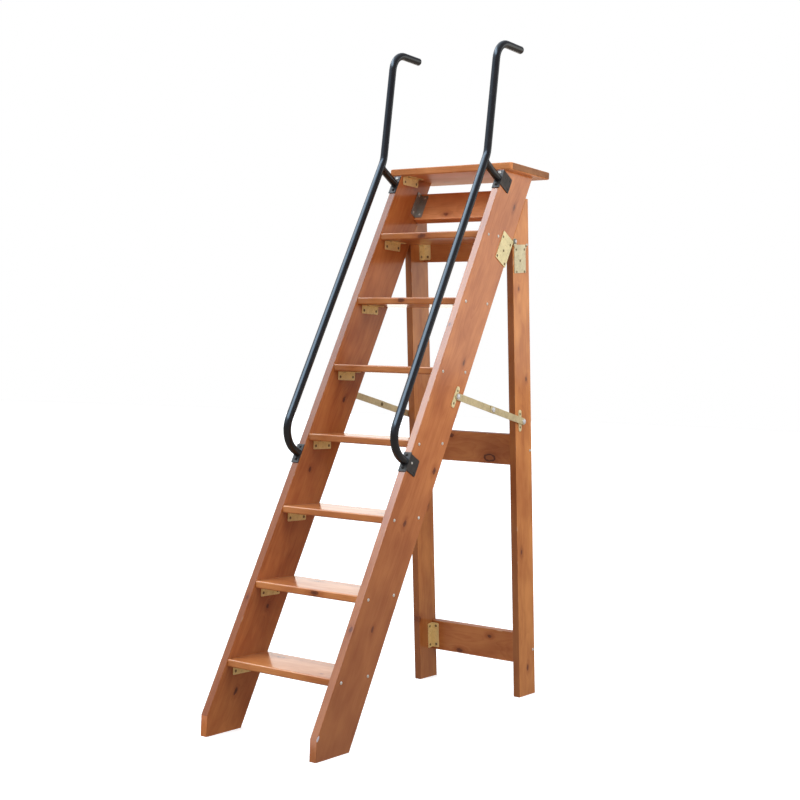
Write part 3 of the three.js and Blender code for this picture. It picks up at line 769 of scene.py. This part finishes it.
PAN_HEAD = head_template(
    "pan",
    [(0, -0.3), (4.9, -0.3), (5.0, 0.5), (4.7, 1.3), (3.9, 2.0), (2.4, 2.5), (0, 2.7)],
    (2.6, 1.0, 1.2),
)
SUNK_HEAD = head_template(
    "sunk",
    [(0, -0.3), (3.9, -0.3), (3.9, 0.15), (3.4, 0.6), (1.8, 0.8), (0, 0.85)],
    (2.3, 0.9, 0.6),
)
FLUSH_HEAD = head_template(
    "flush",
    [(0, -0.3), (4.6, -0.3), (4.6, 0.05), (4.2, 0.18), (0, 0.2)],
    (2.8, 1.1, 0.14),
)
BOLT_HEAD = head_template(
    "bolt",
    [(0, -0.2), (7.2, -0.2), (7.2, 0.7), (6.0, 0.9), (5.9, 2.6), (4.8, 4.2), (2.6, 5.1), (0, 5.4)],
    (3.0, 1.2, 1.5),
)


class Fasteners:
    """Heads of one kind on one body, collected and then made as a single piece."""

    def __init__(self, name, template, material, body, slot):
        self.name, self.template, self.material, self.body, self.slot = name, template, material, body, slot
        self.points, self.faces = [], []
        self.draw = random.Random(name)

    def add(self, place, outwards, size=1.0):
        outwards = outwards.normalized()
        turn = Matrix.Rotation(self.draw.uniform(0, math.pi / 2), 4, "Z")
        stand = outwards.to_track_quat("Z", "Y").to_matrix().to_4x4()
        matrix = Matrix.Translation(place) @ stand @ turn @ Matrix.Scale(size, 4)
        first = len(self.points)
        points, faces = self.template
        self.points += [matrix @ p for p in points]
        self.faces += [tuple(first + i for i in face) for face in faces]

    def finish(self):
        data = bpy.data.meshes.new(self.name)
        data.from_pydata(self.points, [], self.faces)
        data.materials.append(self.material)
        data.shade_smooth()
        piece = bpy.data.objects.new(self.name, data)
        bpy.context.scene.collection.objects.link(piece)
        shade = piece.modifiers.new("shade", "NODES")
        shade.node_group = SHADE
        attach(piece, self.body)


# Where the fasteners go, as (along, across) in millimetres on the stringer or the leg

TREAD_SCREWS = (23, 166)  # behind the tread's front edge
TOP_TREAD_SCREWS = (28, 95)
RAIL_SCREW_ACROSS = 104  # across the leg
HINGE_FRONT_SCREWS = [(1933, 119), (1933, 176), (1890, 146), (1852, 118), (1852, 176)]
HINGE_REAR_SCREWS = [(1716, 92), (1705, 21), (1704, 80), (1663, 49), (1622, 22), (1621, 80)]
EAR_FRONT_SCREWS = [(1256, 141), (1306, 141)]
EAR_REAR_SCREWS = [(1039, 30), (1089, 30)]
PLATE_FACE = OUTER + 2.8 * MM  # the open face of a hinge plate or a stay ear
ANGLE_SCREW_SPAN = 75 * MM  # between the two screws of a leaf
ANGLE_SCREW_OUT = 20 * MM  # from the bracket's corner
ANGLE_FACE = 2.8 * MM  # a leaf's open face, off the board it lies on
RAIL_BRACKET_FACE = 3.3 * MM  # a handrail bracket's open face, off the stringer
KNEE_FACE = OUTER + 3.1 * MM  # the inner side of a stay at its knee
DARK_RAIL_BOLTS = (937, 985, 2080)  # along the stringer's front edge, in the handrail brackets
BRIGHT_RAIL_BOLTS = (2131,)
BRIGHT_SIDE_SCREWS = [(964, 17)]  # in the same brackets' side leaves
DARK_SIDE_SCREWS = [(941, 44), (2122, 20), (2095, 50), (2129, 49)]
TUBE_RADIUS = 14 * MM

# How much larger than its template a head is
BOARD_SCREW = 1.1
PLATE_SCREW = 1.25
BRACKET_SCREW = 1.3
STEEL_ANGLE_SCREW = 1.2
RAIL_BOLT = 0.8
KNEE_RIVET = 2.0


def on_face(axes, along, across, x):
    return axes.at(along * MM, across * MM, x)


def angle_screws(centre, length, first, second):
    """Places and directions of an angle bracket's four screws. centre is a point on its corner line;
    first and second are the directions of its two leaves away from the corner."""
    for leaf, facing in ((first, second), (second, first)):
        for end in (-0.5, 0.5):
            place = centre + length * end * ANGLE_SCREW_SPAN + leaf * ANGLE_SCREW_OUT
            yield place + facing * ANGLE_FACE, facing


def knee_place(hand):
    """Where a stay's two links are riveted together, in side view: the middle of their overlap."""
    front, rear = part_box(f"stay_link_front_{hand}"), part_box(f"stay_link_rear_{hand}")
    return (front[1].y + rear[0].y) / 2, (front[0].z + rear[1].z) / 2


def fasten(hand):
    """Every screw, bolt and rivet head on one side of the ladder."""
    side = SIDES[hand]
    out = X_AXIS * side
    inwards = -out
    zinc = plated_steel(f"zinc_screw_{hand}", DULL_ZINC, 0.30)
    aged = plated_steel(f"aged_screw_{hand}", AGED_BRASS, 0.42)
    black = painted_bracket(f"black_screw_{hand}")

    wood_front = Fasteners(f"screws_stringer_{hand}", PAN_HEAD, zinc, "root", "zinc")
    wood_rear = Fasteners(f"screws_rear_leg_{hand}", PAN_HEAD, zinc, "rear_frame", "zinc")
    plate_front = Fasteners(f"screws_front_plates_{hand}", SUNK_HEAD, aged, "root", "brass")
    plate_rear = Fasteners(f"screws_rear_plates_{hand}", SUNK_HEAD, aged, "rear_frame", "brass")
    ear_front = Fasteners(f"screws_stay_ear_{hand}", FLUSH_HEAD, aged, "root", "brass")
    steel_angle = Fasteners(f"screws_upper_rail_{hand}", SUNK_HEAD, zinc, "root", "zinc")
    bolts = Fasteners(f"bolts_handrail_{hand}", BOLT_HEAD, zinc, "root", "zinc")
    dark_bolts = Fasteners(f"bolts_handrail_dark_{hand}", BOLT_HEAD, black, "root", "dark_steel")
    side_screws = Fasteners(f"screws_handrail_{hand}", SUNK_HEAD, zinc, "root", "zinc")
    dark_screws = Fasteners(f"screws_handrail_dark_{hand}", SUNK_HEAD, black, "root", "dark_steel")
    knee = Fasteners(f"knee_rivet_{hand}", SUNK_HEAD, aged, f"front_link_{hand}", "brass")

    for i in range(1, TREADS + 1):
        low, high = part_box(f"tread_{i}")
        for behind in TREAD_SCREWS if i < TREADS else TOP_TREAD_SCREWS:
            place = Vector((side * OUTER, low.y + behind * MM, (low.z + high.z) / 2))
            wood_front.add(place, out, BOARD_SCREW)
    for height in RAIL_HEIGHTS:
        along, _ = LEG.read(middle(f"rear_rail_{height}"))
        wood_rear.add(LEG.at(along, RAIL_SCREW_ACROSS * MM, side * OUTER), out)
    plate_x = side * PLATE_FACE
    for along, across in HINGE_FRONT_SCREWS:
        plate_front.add(on_face(STRINGER, along, across, plate_x), out, PLATE_SCREW)
    for along, across in EAR_FRONT_SCREWS:
        ear_front.add(on_face(STRINGER, along, across, plate_x), out)
    for along, across in HINGE_REAR_SCREWS + EAR_REAR_SCREWS:
        plate_rear.add(on_face(LEG, along, across, plate_x), out, PLATE_SCREW)

    tread_brackets = [f"tread_bracket_{i}_{hand}" for i in range(1, TREADS + 1)]
    for node in tread_brackets + [f"platform_bracket_{hand}"]:
        bracket_corner = Vector((side * INNER, middle(node).y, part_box(node)[1].z))
        for place, facing in angle_screws(bracket_corner, BACK, inwards, -UP):
            plate_front.add(place, facing, BRACKET_SCREW)
    along, _ = STRINGER.read(middle("upper_back_rail"))
    rail_front = STRINGER.at(along, STRINGER_WIDTH - BOARD, side * INNER)
    for place, facing in angle_screws(rail_front, STRINGER.along, inwards, -STRINGER.across):
        steel_angle.add(place, facing, STEEL_ANGLE_SCREW)
    for height in RAIL_HEIGHTS:
        along, _ = LEG.read(middle(f"rear_rail_{height}"))
        rail_front = LEG.at(along, LEG_DEPTH - BOARD, side * INNER)
        for place, facing in angle_screws(rail_front, LEG.along, inwards, -LEG.across):
            plate_rear.add(place, facing, BRACKET_SCREW)

    tube_x = side * (OUTER - TUBE_RADIUS)
    for group, places in ((dark_bolts, DARK_RAIL_BOLTS), (bolts, BRIGHT_RAIL_BOLTS)):
        for along in places:
            group.add(STRINGER.at(along * MM, -RAIL_BRACKET_FACE, tube_x), -STRINGER.across, RAIL_BOLT)
    knee.add(Vector((side * KNEE_FACE, *knee_place(hand))), inwards, KNEE_RIVET)
    bracket_x = side * (OUTER + RAIL_BRACKET_FACE)
    for along, across in BRIGHT_SIDE_SCREWS:
        side_screws.add(on_face(STRINGER, along, across, bracket_x), out)
    for along, across in DARK_SIDE_SCREWS:
        dark_screws.add(on_face(STRINGER, along, across, bracket_x), out)

    screws = (wood_front, wood_rear, plate_front, plate_rear, ear_front, steel_angle)
    for group in (*screws, bolts, dark_bolts, side_screws, dark_screws, knee):
        group.finish()


# Weld beads and end plugs of the handrails

TUBE_OFFSET = 110 * MM  # from the stringer's front edge to the tube's middle line
STRUT_ALONG = 2106 * MM
FOOT_ALONG = 960 * MM
WELD_STEPS = 40
STRUT_WELD = 1.8 * MM
FOOT_WELD = 1.6 * MM
WELD_HEIGHT = 5.0 * MM  # of the beads on the brackets, off the stringer's front edge
BEAD_RIPPLE = 0.14
RIPPLE_TURN = 2.1  # radians from one point of the bead to the next
PLUG_PROFILE = [(0, 3.2), (9.0, 3.0), (12.2, 2.4), (13.8, 1.2), (14.2, 0.2), (14.2, -0.6), (0, -0.6)]
PLUG_SECTORS = 32


def ring_sweep(name, points, radius, sides=8):
    """A closed bead of that radius along a closed row of points."""
    mesh = bmesh.new()
    count = len(points)
    centre = sum(points, Vector()) / count
    rings = []
    for k, point in enumerate(points):
        ahead = (points[(k + 1) % count] - points[k - 1]).normalized()
        outwards = point - centre
        outwards = (outwards - ahead * outwards.dot(ahead)).normalized()
        other = ahead.cross(outwards)
        rippled = radius * (1.0 + BEAD_RIPPLE * math.sin(k * RIPPLE_TURN))
        ring = []
        for j in range(sides):
            turn = 2 * math.pi * j / sides
            spoke = outwards * math.cos(turn) + other * math.sin(turn)
            ring.append(mesh.verts.new(point + spoke * rippled))
        rings.append(ring)
    for k in range(count):
        ring, after = rings[k], rings[(k + 1) % count]
        for j in range(sides):
            beside = (j + 1) % sides
            mesh.faces.new((ring[j], ring[beside], after[beside], after[j]))
    bmesh.ops.recalc_face_normals(mesh, faces=mesh.faces)
    data = bpy.data.meshes.new(name)
    mesh.to_mesh(data)
    mesh.free()
    data.shade_smooth()
    piece = bpy.data.objects.new(name, data)
    bpy.context.scene.collection.objects.link(piece)
    return piece


def around_tube(along, x, across, saddle=0.0):
    """Points round the tube's section, at that place along and across the stringer. saddle is the radius of
    a second tube whose round side they follow."""
    points = []
    for k in range(WELD_STEPS):
        turn = 2 * math.pi * k / WELD_STEPS
        place_along = along + TUBE_RADIUS * math.cos(turn)
        place_across = across + saddle * abs(math.cos(turn))
        points.append(STRINGER.at(place_along, place_across, x + TUBE_RADIUS * math.sin(turn)))
    return points


def finish_handrail(hand, enamel):
    x = SIDES[hand] * (OUTER - TUBE_RADIUS)
    on_rail = around_tube(STRUT_ALONG, x, -TUBE_OFFSET, TUBE_RADIUS)
    pieces = [
        ring_sweep(f"weld_strut_{hand}", on_rail, STRUT_WELD),
        ring_sweep(f"weld_foot_{hand}", around_tube(FOOT_ALONG, x, -WELD_HEIGHT), FOOT_WELD),
        ring_sweep(f"weld_strut_end_{hand}", around_tube(STRUT_ALONG, x, -WELD_HEIGHT), FOOT_WELD),
    ]
    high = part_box(f"handrail_{hand}")[1]
    plug = turned(f"end_plug_{hand}", PLUG_PROFILE, PLUG_SECTORS)
    plug.data.transform(BACK.to_track_quat("Z", "Y").to_matrix().to_4x4())
    plug.data.transform(Matrix.Translation((x, high.y, high.z - TUBE_RADIUS)))
    plug.data.shade_smooth()
    pieces.append(plug)
    for piece in pieces:
        piece.data.materials.append(enamel)
        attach(piece, "root")


# Floor, light and camera


def stage_piece(name, mesh, material):
    """A white surround that the camera sees and that casts no light of its own on the ladder."""
    data = bpy.data.meshes.new(name)
    mesh.to_mesh(data)
    mesh.free()
    data.materials.append(material)
    piece = bpy.data.objects.new(name, data)
    bpy.context.scene.collection.objects.link(piece)
    piece.visible_diffuse = False
    piece.visible_glossy = False
    piece.visible_shadow = False


FLOOR_RADIUS = 40.0
DOME_RADIUS = 60.0


def make_stage():
    floor = bmesh.new()
    bmesh.ops.create_circle(floor, cap_ends=True, segments=64, radius=FLOOR_RADIUS)
    stage_piece("floor", floor, floor_material())
    dome = bmesh.new()
    bmesh.ops.create_uvsphere(dome, u_segments=48, v_segments=24, radius=DOME_RADIUS)
    stage_piece("backdrop", dome, backdrop_material())


@dataclass
class Lamp:
    """A soft box: its place, what it points at, its width and height, and how bright its face is."""

    name: str
    place: tuple
    target: tuple
    width: float
    height: float
    brightness: float
    colour: tuple
    mirrored: bool  # whether glossy surfaces show it


LAMPS = [
    Lamp("back_right", (3.0, 3.8, 2.6), (0, 0.2, 1.8), 2.4, 2.8, 0.9, (1.0, 0.95, 0.82), True),
    Lamp("back_left", (-2.9, 3.6, 0.95), (0, -0.1, 0.5), 3.2, 0.8, 1.6, (1.0, 0.94, 0.86), True),
    Lamp("right", (2.9, -1.1, 3.3), (0, 0.1, 1.7), 2.2, 2.2, 2.3, (1.0, 0.98, 0.94), False),
    Lamp("right_near", (2.0, 0.1, 1.6), (0.25, 0.1, 1.6), 1.4, 1.4, 3.5, (0.97, 1.0, 1.03), False),
]


def add_lamp(lamp):
    data = bpy.data.lights.new(lamp.name, "AREA")
    data.shape = "RECTANGLE"
    data.size = lamp.width
    data.size_y = lamp.height
    data.energy = lamp.brightness * math.pi * lamp.width * lamp.height
    data.color = lamp.colour
    piece = bpy.data.objects.new(lamp.name, data)
    piece.location = lamp.place
    piece.rotation_euler = (Vector(lamp.target) - Vector(lamp.place)).to_track_quat("-Z", "Y").to_euler()
    piece.visible_camera = False
    piece.visible_glossy = lamp.mirrored
    bpy.context.scene.collection.objects.link(piece)


GROUND_LIGHT = (0.41, 0.34, 0.28)
DULL_SKY = (0.28, 0.29, 0.31)
BRIGHT_SKY = (1.05, 1.16, 1.28)
BRIGHT_SIDE = Vector((-0.62, -0.32, 0.72)).normalized()  # left, a little in front, and high
WINDOW_LIGHT = (5.4, 6.0, 6.6)  # a broad band well above the horizon, in front and to the left
WINDOW_SIDE = Vector((-0.62, -0.78, 0)).normalized()


class Sky:
    """The world's node tree, with short calls for mixing light by direction."""

    def __init__(self, name):
        self.world = bpy.data.worlds.new(name)
        self.world.use_nodes = True
        self.nodes, self.links = self.world.node_tree.nodes, self.world.node_tree.links
        self.direction = self.nodes.new("ShaderNodeTexCoord").outputs["Generated"]
        parts = self.nodes.new("ShaderNodeSeparateXYZ")
        self.links.new(self.direction, parts.inputs[0])
        self.height = parts.outputs["Z"]

    def rise(self, value, low, high):
        """A smooth step from 0 at low to 1 at high."""
        node = self.nodes.new("ShaderNodeMapRange")
        node.interpolation_type = "SMOOTHSTEP"
        node.inputs["From Min"].default_value = low
        node.inputs["From Max"].default_value = high
        self.links.new(value, node.inputs["Value"])
        return node.outputs[0]

    def facing(self, side):
        node = self.nodes.new("ShaderNodeVectorMath")
        node.operation = "DOT_PRODUCT"
        node.inputs[1].default_value = side
        self.links.new(self.direction, node.inputs[0])
        return node.outputs["Value"]

    def both(self, first, second):
        node = self.nodes.new("ShaderNodeMath")
        node.operation = "MULTIPLY"
        self.links.new(first, node.inputs[0])
        self.links.new(second, node.inputs[1])
        return node.outputs[0]

    def mix(self, factor, first, second):
        node = self.nodes.new("ShaderNodeMix")
        node.data_type = "RGBA"
        self.links.new(factor, node.inputs[0])
        for index, value in ((6, first), (7, second)):
            if isinstance(value, tuple):
                node.inputs[index].default_value = (*value, 1)
            else:
                self.links.new(value, node.inputs[index])
        return node.outputs[2]

    def shine(self, colour):
        self.links.new(colour, self.nodes["Background"].inputs["Color"])
        bpy.context.scene.world = self.world


def light_studio():
    sky = Sky("studio")
    bright = sky.both(sky.rise(sky.facing(BRIGHT_SIDE), 0.25, 0.92), sky.rise(sky.height, 0.08, 0.45))
    band = sky.both(sky.rise(sky.height, 0.57, 0.64), sky.rise(sky.height, 0.96, 0.80))
    window = sky.both(sky.rise(sky.facing(WINDOW_SIDE), 0.18, 0.50), band)
    colour = sky.mix(sky.rise(sky.height, -0.20, 0.25), GROUND_LIGHT, DULL_SKY)
    colour = sky.mix(bright, colour, BRIGHT_SKY)
    colour = sky.mix(window, colour, WINDOW_LIGHT)
    sky.shine(colour)
    for lamp in LAMPS:
        add_lamp(lamp)
    bpy.context.scene.view_settings.view_transform = "Standard"


CAMERA_PLACE = (2.9219, -4.1405, 1.2027)
CAMERA_YAW = math.radians(34.96)
CAMERA_PITCH = math.radians(-0.88)
CAMERA_ROLL = math.radians(2.233)
LENS_MM = 63.68
SENSOR_MM = 36
FAR_CLIP = 200


def place_camera():
    data = bpy.data.cameras.new("camera")
    data.sensor_width = SENSOR_MM
    data.lens = LENS_MM
    data.clip_end = FAR_CLIP
    camera = bpy.data.objects.new("camera", data)
    level = math.cos(CAMERA_PITCH)
    forward = Vector((-math.sin(CAMERA_YAW) * level, math.cos(CAMERA_YAW) * level, math.sin(CAMERA_PITCH)))
    right = Vector((math.cos(CAMERA_YAW), math.sin(CAMERA_YAW), 0))
    up = right.cross(forward)
    rolled_right = right * math.cos(CAMERA_ROLL) + up * math.sin(CAMERA_ROLL)
    rolled_up = up * math.cos(CAMERA_ROLL) - right * math.sin(CAMERA_ROLL)
    turn = Matrix((rolled_right, rolled_up, -forward)).transposed()
    camera.matrix_world = Matrix.Translation(CAMERA_PLACE) @ turn.to_4x4()
    bpy.context.scene.collection.objects.link(camera)
    bpy.context.scene.camera = camera


paint_boards()
paint_metals()
for hand in SIDES:
    fasten(hand)
    finish_handrail(hand, painted_tube(f"black_enamel_{hand}"))
make_stage()
light_studio()
place_camera()
